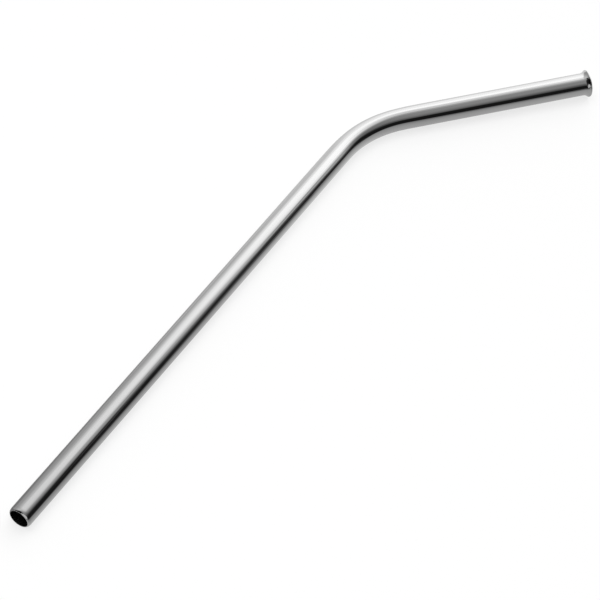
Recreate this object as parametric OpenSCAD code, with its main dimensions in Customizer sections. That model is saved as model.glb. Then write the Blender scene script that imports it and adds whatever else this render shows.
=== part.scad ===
// A bent drinking straw, drawn from one length of stainless steel tube.
// The tube is bent once. Its mouth end is flared into a lip, and the edge of its other end, the tip, is rounded.
// It lies as it comes to rest, on the long leg and on the lowest point of the lip.
// X runs along the long leg towards the bend, Z is up, and the origin is under the middle of the straw.

/* [Tube] */
// Outer diameter of the tube
tube_d = 6; // [5:0.1:9]
// Thickness of the steel
wall = 0.5; // [0.3:0.05:0.7]

/* [Length and bend] */
// Length of the straw along its middle line, from tip to mouth
straw_l = 215; // [170:1:300]
// Straight run from the bend to the mouth, with the lip
short_leg_l = 52.4; // [30:0.1:80]
// Angle that the tube turns through
bend_angle = 40; // [20:1:70]
// Radius of the bend, to the middle of the tube
bend_r = 30; // [18:0.5:45]

/* [Lip at the mouth] */
// How far the lip stands out from the tube
lip_out = 0.65; // [0.4:0.05:2.5]
// Angle between the flared wall and the tube's middle line
flare_angle = 45; // [35:1:80]

/* [Rounded tip] */
// Radius of the round on the outside of the tip
tip_round = 0.95; // [0.7:0.05:1.2]
// Radius of the edge left round the opening at the tip
tip_edge = 0.1; // [0.04:0.01:0.14]

/* [Hidden] */
$fn = 72;
arc_steps = 8;
steel = [0.75, 0.75, 0.75];

tube_r = tube_d / 2;
bore_r = tube_r - wall;

// The corner is where the middle lines of the two legs would meet
bend_l = bend_r * bend_angle * PI / 180;
bend_to_corner = bend_r * tan(bend_angle / 2);
long_leg_l = straw_l - short_leg_l - bend_l;

// The lip: the wall turns outwards round a circle beside the tube, and ends in a full round, the rim.
// Heights along a leg are counted from the bend.
rim_round = wall / 2;
flare_mid_r = lip_out / (1 - cos(flare_angle));
flare_r = flare_mid_r - rim_round;
rim_centre = [tube_r + lip_out - rim_round, short_leg_l - rim_round];
flare_centre = rim_centre + flare_mid_r * [cos(flare_angle), -sin(flare_angle)];

// The tip: the round on the outside runs smoothly into the edge round the opening
edge_centre = [bore_r + tip_edge, long_leg_l - tip_edge];
edge_from_round = [tip_round - wall + tip_edge, sqrt((wall - 2 * tip_edge) * (2 * tip_round - wall))];
round_centre = edge_centre - edge_from_round;
tip_turn = atan2(edge_from_round.y, edge_from_round.x);

// The lip is wider than the tube, so the short leg slopes up until lip and long leg both touch the ground
rim_r = rim_centre.x;
rim_to_corner = bend_to_corner + rim_centre.y;
leg_slope = acos((tube_r - rim_round) / norm([rim_to_corner, rim_r])) - atan2(rim_to_corner, rim_r);
rest_tilt = asin(sin(leg_slope) / sin(bend_angle));

// Reach of the straw from the corner: back along the long leg, and forward and sideways to the lip
short_leg_x = cos(bend_angle);
short_leg_y = sin(bend_angle) * cos(rest_tilt);
reach_back = bend_to_corner + long_leg_l;
reach_front = rim_to_corner * short_leg_x + rim_r * sqrt(1 - pow(short_leg_x, 2)) + rim_round;
reach_side = rim_to_corner * short_leg_y + rim_r * sqrt(1 - pow(short_leg_y, 2)) + rim_round;
corner = [(reach_back - reach_front) / 2, (reach_side - tube_r) / 2, tube_r];

// The two halves of the bend are made a little too long and cut off square where they meet
cut_angle = 1;
half_bend_angle = bend_angle / 2 + cut_angle;

// Points along an arc of radius r round a centre, from angle a to angle b
function arc(centre, r, a, b) = [
    for (i = [0:arc_steps])
        let (turn = a + (b - a) * i / arc_steps)
            centre + r * [cos(turn), sin(turn)]
];

// Section of the wall of the long leg, from the bend up to the rounded tip
module long_leg_section() {
    polygon(concat(
        [[bore_r, 0], [tube_r, 0]],
        arc(round_centre, tip_round, 0, tip_turn),
        arc(edge_centre, tip_edge, tip_turn, 180)
    ));
}

// Section of the wall of the short leg, from the bend up to the flared lip
module short_leg_section() {
    polygon(concat(
        [[bore_r, 0], [tube_r, 0]],
        arc(flare_centre, flare_r, 180, 180 - flare_angle),
        arc(rim_centre, rim_round, -flare_angle, 180 - flare_angle),
        arc(flare_centre, flare_r + wall, 180 - flare_angle, 180)
    ));
}

// Section of the wall across the bend
module bend_section() {
    difference() {
        circle(tube_r);
        circle(bore_r);
    }
}

// A leg with the given section and its half of the bend, which ends at the plane X = 0.
// The origin is the centre of the bend.
module leg_and_half_bend() {
    difference() {
        rotate([0, 0, -bend_angle / 2]) {
            translate([0, bend_r, 0]) rotate([0, 90, 0])
                rotate_extrude() children();
            rotate_extrude(angle = half_bend_angle, start = 90)
                translate([bend_r, 0]) bend_section();
        }
        translate([-bend_r, 0, -tube_d]) cube([bend_r, 2 * bend_r, 2 * tube_d]);
    }
}

// The straw is one piece of tube, and bends towards -Y
module straw() {
    color(steel)
        translate(corner) rotate([-rest_tilt, 0, 0]) translate([-bend_to_corner, -bend_r, 0])
            rotate([0, 0, -bend_angle / 2]) {
                mirror([1, 0, 0]) leg_and_half_bend() long_leg_section();
                leg_and_half_bend() short_leg_section();
            }
}

straw();
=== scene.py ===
"""A bent drinking straw of polished stainless steel, lying on a pale table under soft studio light."""

import bpy
import numpy as np
from mathutils import Matrix, Vector


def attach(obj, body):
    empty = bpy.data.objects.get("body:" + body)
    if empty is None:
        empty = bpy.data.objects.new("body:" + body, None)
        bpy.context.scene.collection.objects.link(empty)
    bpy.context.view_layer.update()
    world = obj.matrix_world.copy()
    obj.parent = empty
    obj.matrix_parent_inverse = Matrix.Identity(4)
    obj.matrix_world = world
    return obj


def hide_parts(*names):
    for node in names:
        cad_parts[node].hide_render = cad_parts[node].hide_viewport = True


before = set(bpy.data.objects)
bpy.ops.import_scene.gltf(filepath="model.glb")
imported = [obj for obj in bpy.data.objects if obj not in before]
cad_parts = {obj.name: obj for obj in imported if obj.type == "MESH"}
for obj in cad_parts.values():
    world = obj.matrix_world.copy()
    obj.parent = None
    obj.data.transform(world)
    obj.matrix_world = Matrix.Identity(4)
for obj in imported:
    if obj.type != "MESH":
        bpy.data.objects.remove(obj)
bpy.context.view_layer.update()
MM = 0.001


# The camera
# A long lens looks down on the straw from beyond its tip, a little to the right of it.
# The straw runs up the picture from the lower left, and its mouth points away on the right.
camera_place = Vector((-397.009, -198.582, 549.396)) * MM
camera_right = Vector((0.538589, -0.839241, 0.074811))
camera_up = Vector((0.633592, 0.461936, 0.620626))
camera_forward = Vector((0.555413, 0.286863, -0.780529))

camera_data = bpy.data.cameras.new("camera")
camera_data.lens = 168.5
camera_data.sensor_width = 36
camera_data.clip_start = 0.01
camera = bpy.data.objects.new("camera", camera_data)
camera_turn = Matrix((camera_right, camera_up, -camera_forward)).transposed().to_4x4()
camera.matrix_world = Matrix.Translation(camera_place) @ camera_turn
bpy.context.scene.collection.objects.link(camera)
bpy.context.scene.camera = camera


# The straw
# One length of stainless steel tube, drawn to size, polished, and bent once round a former.
# The mouth is flared into a rolled lip, and the other end, the tip, is rounded over and its edge smoothed.
tube_r = 3.0
wall = 0.5
bore_r = tube_r - wall
long_leg = 141.656
bend_r = 30.0
bend_turn = np.radians(40)
bend_length = bend_r * bend_turn
short_leg = 52.4
bend_start = long_leg
bend_end = long_leg + bend_length
lie_tilt = np.radians(0.918438)
corner = np.array([50.913, 20.1948, 3.0])
bend_start_point = corner - [bend_r * np.tan(bend_turn / 2), 0, 0]
bend_flattening = 0.03
bend_ease = 9.0
around = 192


def arc(centre, r, start, end, steps):
    """Points on a circle in the wall's section: the centre plus r times the cosine and the sine of an angle
    in degrees, which runs evenly from start to end. A point is a radius and a distance along the tube."""
    angle = np.radians(np.linspace(start, end, steps + 1))
    return np.column_stack([centre[0] + r * np.cos(angle), centre[1] + r * np.sin(angle)])


def run(r, start, end, steps):
    """Points on a straight wall of radius r, evenly from start to end along the tube, without the two ends."""
    along = np.linspace(start, end, steps + 1)[1:-1]
    return np.column_stack([np.full(len(along), r), along])


def roll_in(length, angle, steps):
    """Points on the wall where it rolls in at the tip. Its slope grows from 0 to angle with the cube of the
    way gone, and each step adds the sine of the slope inwards and the cosine of it towards the end."""
    slope = angle * ((np.arange(steps) + 0.5) / steps) ** 3
    inwards = np.append(0, np.cumsum(np.sin(slope))) * length / steps
    forwards = np.append(0, np.cumsum(np.cos(slope))) * length / steps
    return np.column_stack([tube_r - inwards, -forwards])


def middle_line(s):
    """The middle of the tube at distance s from the tip: straight, then through the bend, then straight again.
    The bend's curvature grows evenly from nothing over its first few millimetres, stays, and dies away as it
    grew, so the way the tube points is the sum of the curvature, and its place is the sum of those ways.
    Gives the point there, the way on along the tube, and the two ways across it, sideways and up.
    The whole is tilted a little about the long leg, because the lip holds the short leg up."""
    eased_r = bend_r - bend_ease ** 2 / (24 * bend_r)
    eased_length = eased_r * bend_turn + bend_ease
    way = np.linspace(0, eased_length, 4001)
    step = way[1] - way[0]
    curvature = np.clip(np.minimum(way, eased_length - way) / bend_ease, 0, 1) / eased_r
    turn = np.append(0, np.cumsum((curvature[1:] + curvature[:-1]) * step / 2))
    middle_turn = (turn[1:] + turn[:-1]) / 2
    bend_x = np.append(0, np.cumsum(np.cos(middle_turn) * step)) - bend_ease / 2
    bend_y = np.append(0, np.cumsum(-np.sin(middle_turn) * step))
    through = np.clip((s - bend_start + bend_ease / 2) / (bend_length + bend_ease), 0, 1) * eased_length
    before = np.minimum(s - bend_start + bend_ease / 2, 0)
    after = np.maximum(s - bend_end - bend_ease / 2, 0)
    turn = np.interp(through, way, turn)
    sine, cosine, none = np.sin(turn), np.cos(turn), np.zeros_like(s)
    point = np.column_stack([np.interp(through, way, bend_x) + before + after * cosine,
                             np.interp(through, way, bend_y) - after * sine, none])
    onward = np.column_stack([cosine, -sine, none])
    sideways = np.column_stack([sine, cosine, none])
    upward = np.column_stack([none, none, none + 1])
    c, d = np.cos(lie_tilt), np.sin(lie_tilt)
    tilt = np.array([[1, 0, 0], [0, c, -d], [0, d, c]])
    return bend_start_point + point @ tilt, onward @ tilt, sideways @ tilt, upward @ tilt


def smooth_step(x):
    """0 below 0, 1 above 1, and 3 x squared less 2 x cubed between them."""
    x = np.clip(x, 0, 1)
    return x * x * (3 - 2 * x)


# The section of the wall, once round: out over the tip, along the outside, over the lip, and back down the bore
# At the tip the wall rolls in more and more tightly, and its end is turned over a small round
tip_roll_length, tip_roll_angle, tip_edge_r = 1.6, np.radians(50), 0.02
tip_roll = roll_in(tip_roll_length, tip_roll_angle, 36)
tip_end_r = (tip_roll[-1, 0] - bore_r - tip_edge_r) / np.cos(tip_roll_angle)
tip_roll[:, 1] += tip_end_r * (1 - np.sin(tip_roll_angle)) - tip_roll[-1, 1]
flare_angle = 45
lip_out = 0.65
rim_r = wall / 2
flare_middle_r = lip_out / (1 - np.cos(np.radians(flare_angle)))
flare_r = flare_middle_r - rim_r
rim_centre = (tube_r + lip_out - rim_r, bend_end + short_leg - rim_r)
flare_centre = (rim_centre[0] + flare_middle_r * np.cos(np.radians(flare_angle)),
                rim_centre[1] - flare_middle_r * np.sin(np.radians(flare_angle)))
section = np.vstack([
    arc((bore_r + tip_edge_r, tip_edge_r), tip_edge_r, 180, 270, 5),
    arc((bore_r + tip_edge_r, tip_end_r), tip_end_r, 270, 360 - np.degrees(tip_roll_angle), 16)[1:],
    tip_roll[-2::-1],
    run(tube_r, tip_roll[0, 1], bend_start - bend_ease, 70),
    run(tube_r, bend_start - bend_ease, bend_end + bend_ease, 120),
    run(tube_r, bend_end + bend_ease, flare_centre[1], 30),
    arc(flare_centre, flare_r, 180, 180 - flare_angle, 16),
    arc(rim_centre, rim_r, -flare_angle, 180 - flare_angle, 20)[1:],
    arc(flare_centre, flare_r + wall, 180 - flare_angle, 180, 16)[1:],
    run(bore_r, flare_centre[1], bend_end + bend_ease, 20),
    run(bore_r, bend_end + bend_ease, bend_start - bend_ease, 60),
    run(bore_r, bend_start - bend_ease, tip_edge_r, 40),
])
radius, along = section[:, 0], section[:, 1]

# The section is carried along the middle line. The bend presses it a little flat from side to side.
point, onward, sideways, upward = middle_line(along)
flat = bend_flattening * smooth_step((along - bend_start) / bend_ease + 0.5)
flat *= smooth_step((bend_end - along) / bend_ease + 0.5)
angle = np.linspace(0, 2 * np.pi, around, endpoint=False)
across = (radius * (1 - flat))[:, None] * np.cos(angle)
height = radius[:, None] * np.sin(angle)
surface = point[:, None] + across[..., None] * sideways[:, None] + height[..., None] * upward[:, None]

# The lines that drawing leaves run along the tube, so the material reads the place round it and along it
drawn = np.stack([
    np.broadcast_to(np.cos(angle), across.shape) * radius[:, None],
    np.broadcast_to(np.sin(angle), across.shape) * radius[:, None],
    np.broadcast_to(along[:, None], across.shape),
], axis=-1)
inside = np.broadcast_to((radius < bore_r + tip_edge_r)[:, None], across.shape)

rows, columns = across.shape
row, column = np.meshgrid(np.arange(rows), np.arange(columns), indexing="ij")
next_row, next_column = (row + 1) % rows, (column + 1) % columns
faces = np.stack([row * columns + column, row * columns + next_column,
                  next_row * columns + next_column, next_row * columns + column], axis=-1).reshape(-1, 4)

straw_mesh = bpy.data.meshes.new("bent_straw")
straw_mesh.from_pydata((surface.reshape(-1, 3) * MM).tolist(), [], faces.tolist())
straw_mesh.shade_smooth()
drawn_attribute = straw_mesh.attributes.new("drawn", "FLOAT_VECTOR", "POINT")
drawn_attribute.data.foreach_set("vector", drawn.astype(np.float32).ravel())
inside_attribute = straw_mesh.attributes.new("inside", "FLOAT", "POINT")
inside_attribute.data.foreach_set("value", inside.astype(np.float32).ravel())
straw = bpy.data.objects.new("bent_straw", straw_mesh)
bpy.context.scene.collection.objects.link(straw)

# Polished steel with the faint lines that drawing the tube leaves along it. The bore isn't polished, so it is
# rougher, and its colour is painted far darker than the steel's, as painted shade inside the tube.
steel = bpy.data.materials.new("polished_drawn_steel")
steel.use_nodes = True
nodes, links = steel.node_tree.nodes, steel.node_tree.links
shader = nodes["Principled BSDF"]
shader.inputs["Metallic"].default_value = 1
place = nodes.new("ShaderNodeAttribute")
place.attribute_name = "drawn"
in_bore = nodes.new("ShaderNodeAttribute")
in_bore.attribute_name = "inside"


def lines(per_mm, long, detail):
    """Noise with per_mm features to the millimetre round the tube, drawn out long times along it."""
    stretch = nodes.new("ShaderNodeVectorMath")
    stretch.operation = "MULTIPLY"
    links.new(place.outputs["Vector"], stretch.inputs[0])
    stretch.inputs[1].default_value = (1, 1, 1 / long)
    noise = nodes.new("ShaderNodeTexNoise")
    noise.inputs["Scale"].default_value = per_mm
    noise.inputs["Detail"].default_value = detail
    links.new(stretch.outputs["Vector"], noise.inputs["Vector"])
    return noise.outputs["Fac"]


def between(value, low, high, from_low=0.3, from_high=0.7):
    """The value, spread from the range given last to the range from low to high."""
    spread = nodes.new("ShaderNodeMapRange")
    links.new(value, spread.inputs["Value"])
    for name, number in (("From Min", from_low), ("From Max", from_high), ("To Min", low), ("To Max", high)):
        spread.inputs[name].default_value = number
    return spread.outputs["Result"]


def pick(outside, in_the_bore):
    """One value outside and another in the bore."""
    mix = nodes.new("ShaderNodeMix")
    links.new(in_bore.outputs["Fac"], mix.inputs["Factor"])
    links.new(outside, mix.inputs["A"])
    links.new(in_the_bore, mix.inputs["B"])
    return mix.outputs["Result"]


# Wide and fine lines change how bright and how glossy the steel is.
# Shallow grooves bend what it mirrors a little.
wide_lines = lines(1.1, 90, 2)
fine_lines = lines(4.5, 160, 3)
grooves = lines(1.6, 90, 1)
scuffs = lines(1.6, 1.3, 4)
groove_depth = 0.05
brightness = nodes.new("ShaderNodeCombineColor")
# In the bore the grey is painted shade: far darker than the steel outside, so that the inside of the tube reads
# dark
grey = pick(between(wide_lines, 0.545, 0.575), between(fine_lines, 0.2, 0.26))
for channel in ("Red", "Green", "Blue"):
    links.new(grey, brightness.inputs[channel])
links.new(brightness.outputs["Color"], shader.inputs["Base Color"])
polish = nodes.new("ShaderNodeMath")
polish.operation = "ADD"
links.new(between(fine_lines, 0.055, 0.105), polish.inputs[0])
links.new(between(scuffs, 0.0, 0.03), polish.inputs[1])
links.new(pick(polish.outputs["Value"], between(fine_lines, 0.2, 0.3)), shader.inputs["Roughness"])
bump = nodes.new("ShaderNodeBump")
bump.inputs["Strength"].default_value = 1
bump.inputs["Distance"].default_value = groove_depth * MM
links.new(grooves, bump.inputs["Height"])
links.new(bump.outputs["Normal"], shader.inputs["Normal"])
straw_mesh.materials.append(steel)

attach(straw, "root")
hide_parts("straw")


# The table
# A wide pale board that the straw lies on. It keeps the straw's soft shadow.
# The camera and the mirroring steel see it lit evenly for the most part, so that it stays nearly white.
table_reach = 3.0
table_grey = 0.92
table_glow = 0.1
even_share = 0.7
corners = np.array([[-1, -1, 0], [1, -1, 0], [1, 1, 0], [-1, 1, 0]]) * table_reach
table_mesh = bpy.data.meshes.new("table")
table_mesh.from_pydata(corners.tolist(), [], [[0, 1, 2, 3]])
table = bpy.data.objects.new("table", table_mesh)
bpy.context.scene.collection.objects.link(table)
pale = bpy.data.materials.new("pale_table")
pale.use_nodes = True
pale_shader = pale.node_tree.nodes["Principled BSDF"]
pale_nodes, pale_links = pale.node_tree.nodes, pale.node_tree.links
path = pale_nodes.new("ShaderNodeLightPath")
seen = path.outputs["Is Camera Ray"]
for kind in ("Is Glossy Ray", "Is Transmission Ray"):
    either = pale_nodes.new("ShaderNodeMath")
    either.operation = "MAXIMUM"
    pale_links.new(seen, either.inputs[0])
    pale_links.new(path.outputs[kind], either.inputs[1])
    seen = either.outputs["Value"]
share = pale_nodes.new("ShaderNodeMath")
share.operation = "MULTIPLY"
pale_links.new(seen, share.inputs[0])
share.inputs[1].default_value = even_share
white = pale_nodes.new("ShaderNodeEmission")
white.inputs["Strength"].default_value = 1
blend = pale_nodes.new("ShaderNodeMixShader")
pale_links.new(share.outputs["Value"], blend.inputs["Fac"])
pale_links.new(pale_shader.outputs["BSDF"], blend.inputs[1])
pale_links.new(white.outputs["Emission"], blend.inputs[2])
pale_links.new(blend.outputs["Shader"], pale_nodes["Material Output"].inputs["Surface"])
pale_shader.inputs["Base Color"].default_value = (table_grey, table_grey, table_grey, 1)
pale_shader.inputs["Emission Color"].default_value = (1, 1, 1, 1)
pale_shader.inputs["Emission Strength"].default_value = table_glow
pale_shader.inputs["Roughness"].default_value = 1
pale_shader.inputs["Specular IOR Level"].default_value = 0
table_mesh.materials.append(pale)


# The mirrored cards
# A glowing sheet lies under the straw. Its long edges turn up, black on the camera's side and pale on the
# other.
# A round pale glowing disc stands beyond the tip. Only the steel mirrors these cards, and they give it
# its dark bands: they light nothing and are painted reflection, and the sheet holds a painted shadow of the
# straw.
def painted_reflection_card(name, points, grey, faces):
    """A staged card that glows with the given greys by itself and is seen in the steel alone: a painted
    reflection.
    """
    mesh = bpy.data.meshes.new(name)
    mesh.from_pydata((points * MM).tolist(), [], faces.tolist())
    shade = mesh.attributes.new("shade", "FLOAT", "POINT")
    shade.data.foreach_set("value", grey.astype(np.float32))
    material = bpy.data.materials.new(name)
    material.use_nodes = True
    tree = material.node_tree
    tree.nodes.remove(tree.nodes["Principled BSDF"])
    glow = tree.nodes.new("ShaderNodeEmission")
    read = tree.nodes.new("ShaderNodeAttribute")
    read.attribute_name = "shade"
    tree.links.new(read.outputs["Fac"], glow.inputs["Strength"])
    tree.links.new(glow.outputs["Emission"], tree.nodes["Material Output"].inputs["Surface"])
    mesh.materials.append(material)
    card = bpy.data.objects.new(name, mesh)
    bpy.context.scene.collection.objects.link(card)
    card.visible_camera = card.visible_diffuse = card.visible_shadow = card.visible_transmission = False


def grid_faces(rows, columns):
    """The four corners of each face of a grid with its points row by row."""
    row, column = np.meshgrid(np.arange(rows - 1), np.arange(columns - 1), indexing="ij")
    first = (row * columns + column).ravel()
    return np.column_stack([first, first + 1, first + columns + 1, first + columns])


# The sheet follows the straw's middle line, and reaches near_reach towards the camera and far_reach away.
# On the near side it is grey under the straw, a painted shadow of the straw, and darkens outwards into painted
# shade of the dark side of the room. On the far side it grows paler towards the mouth, a painted reflection of
# the pale room.
near_reach, far_reach = 28, 60
near_rise, far_rise = 6, 7
sheet_past_ends = 40
card_along = np.linspace(-sheet_past_ends, bend_end + short_leg + sheet_past_ends, 160)
card_across = np.concatenate([[-near_reach, -near_reach], np.linspace(1 - near_reach, far_reach, 88),
                              [far_reach, far_reach]])
card_rise = np.concatenate([[near_rise], np.full(len(card_across) - 2, 0.02), [far_rise]])
card_middle, _, card_sideways, _ = middle_line(card_along)
card_points = card_middle[:, None] + card_across[:, None] * card_sideways[:, None]
card_points[..., 2] = card_rise
in_bend = smooth_step((card_along - bend_start) / bend_length)[:, None]
fade = 17.5 + 28 * in_bend
# Painted shadow: the grey of the straw's shadow on the table as the steel would mirror it, lighter along the
# long leg and darker in the bend
straw_shadow_grey = 0.63 + 0.2 * smooth_step((card_along - 60) / 70)[:, None] - 0.26 * in_bend
near_painted_shade = straw_shadow_grey * np.exp(-(np.abs(card_across) - tube_r) / fade)
far_grey = 0.28 + 0.65 * smooth_step(card_along / 190)[:, None]
card_grey = near_painted_shade + (far_grey - near_painted_shade) * smooth_step((card_across + tube_r) / (2 * tube_r))
# The edge turned up on the camera's side is painted black, painted shade of the dark side of the room; the far
# edge glows pale
card_grey[:, 0] = 0.01
card_grey[:, -2:] = 0.12 + 0.9 * smooth_step((card_along + 10) / 150)[:, None]
painted_reflection_card("painted_reflection_sheet", card_points.reshape(-1, 3), card_grey.ravel(), grid_faces(*card_grey.shape))

# The pale card is a glowing disc that stands upright beyond the tip and faces it: a painted reflection of a
# pale patch of the room, seen in the steel alone
disc_r = 112.0
disc_middle = np.array([-215.0, -66.0, 78.0])
disc_turn = np.radians(60)
disc_grey = 0.76
ring = np.linspace(0, 2 * np.pi, 48, endpoint=False)[:, None]
disc_side = np.array([np.cos(disc_turn), -np.sin(disc_turn), 0])
disc_up = np.array([0, 0, 1])
disc_points = disc_middle + disc_r * (np.cos(ring) * disc_side + np.sin(ring) * disc_up)
disc_points[:, 2] = np.maximum(disc_points[:, 2], 1)
painted_reflection_card("painted_reflection_disc", disc_points, np.full(len(ring), disc_grey), np.arange(len(ring))[None, :])


# The studio
# A large soft light stands behind the straw on the right, before a pale wall, and the camera's side is left
# dark. The ceiling is grey, and grows lighter towards the top.
world = bpy.data.worlds.new("studio")
world.use_nodes = True
bpy.context.scene.world = world
room, wires = world.node_tree.nodes, world.node_tree.links
background = room["Background"]
direction = room.new("ShaderNodeTexCoord").outputs["Generated"]


def ramp(value, start, end, low, high):
    """Turns value into a strength: low up to start, high from end on, and a smooth step between them."""
    step = room.new("ShaderNodeMapRange")
    step.interpolation_type = "SMOOTHSTEP"
    wires.new(value, step.inputs["Value"])
    for name, number in (("From Min", start), ("From Max", end), ("To Min", low), ("To Max", high)):
        step.inputs[name].default_value = number
    return step.outputs["Result"]


def towards(turn, rise):
    """How closely a direction points at the place at turn degrees from +Y towards +X and rise degrees up:
    the dot product of the two directions, which is the cosine of the angle between them."""
    turn, rise = np.radians(turn), np.radians(rise)
    dot = room.new("ShaderNodeVectorMath")
    dot.operation = "DOT_PRODUCT"
    wires.new(direction, dot.inputs[0])
    dot.inputs[1].default_value = (np.sin(turn) * np.cos(rise), np.cos(turn) * np.cos(rise), np.sin(rise))
    return dot.outputs["Value"]


def patch(turn, rise, reach, core, outside, inside):
    """A round patch of the room about the given direction: its strength is outside beyond reach degrees from
    the middle, inside within core degrees of it, and a smooth step between them."""
    return ramp(towards(turn, rise), np.cos(np.radians(reach)), np.cos(np.radians(core)), outside, inside)


def total(*strengths):
    """The sum of the strengths."""
    result = strengths[0]
    for strength in strengths[1:]:
        add = room.new("ShaderNodeMath")
        add.operation = "ADD"
        wires.new(result, add.inputs[0])
        wires.new(strength, add.inputs[1])
        result = add.outputs["Value"]
    return result


camera_dark = patch(278, 45, 37, 24, 1, 0.06)
soft_light = patch(85, 9, 56, 40, 0, 0.67)
soft_middle = patch(94, 24, 53, 4, 0, 0.55)
pale_wall = patch(49, 12, 86, 60, 0, 0.45)
ceiling = patch(0, 90, 68, 0, 0.012, 0.397)
multiply = room.new("ShaderNodeMath")
multiply.operation = "MULTIPLY"
wires.new(total(ceiling, pale_wall), multiply.inputs[0])
wires.new(camera_dark, multiply.inputs[1])
wires.new(total(soft_light, soft_middle, multiply.outputs["Value"]), background.inputs["Strength"])
background.inputs["Color"].default_value = (1, 1, 1, 1)


# A wide soft lamp overhead lights the table. The steel doesn't mirror it.
lamp_data = bpy.data.lights.new("overhead", "AREA")
lamp_data.shape = "DISK"
lamp_data.size = 1.2
lamp_data.energy = 8
lamp = bpy.data.objects.new("overhead", lamp_data)
lamp.location = (-0.1, 0.1, 1.2)
lamp.visible_glossy = False
bpy.context.scene.collection.objects.link(lamp)

bpy.context.scene.view_settings.view_transform = "Standard"
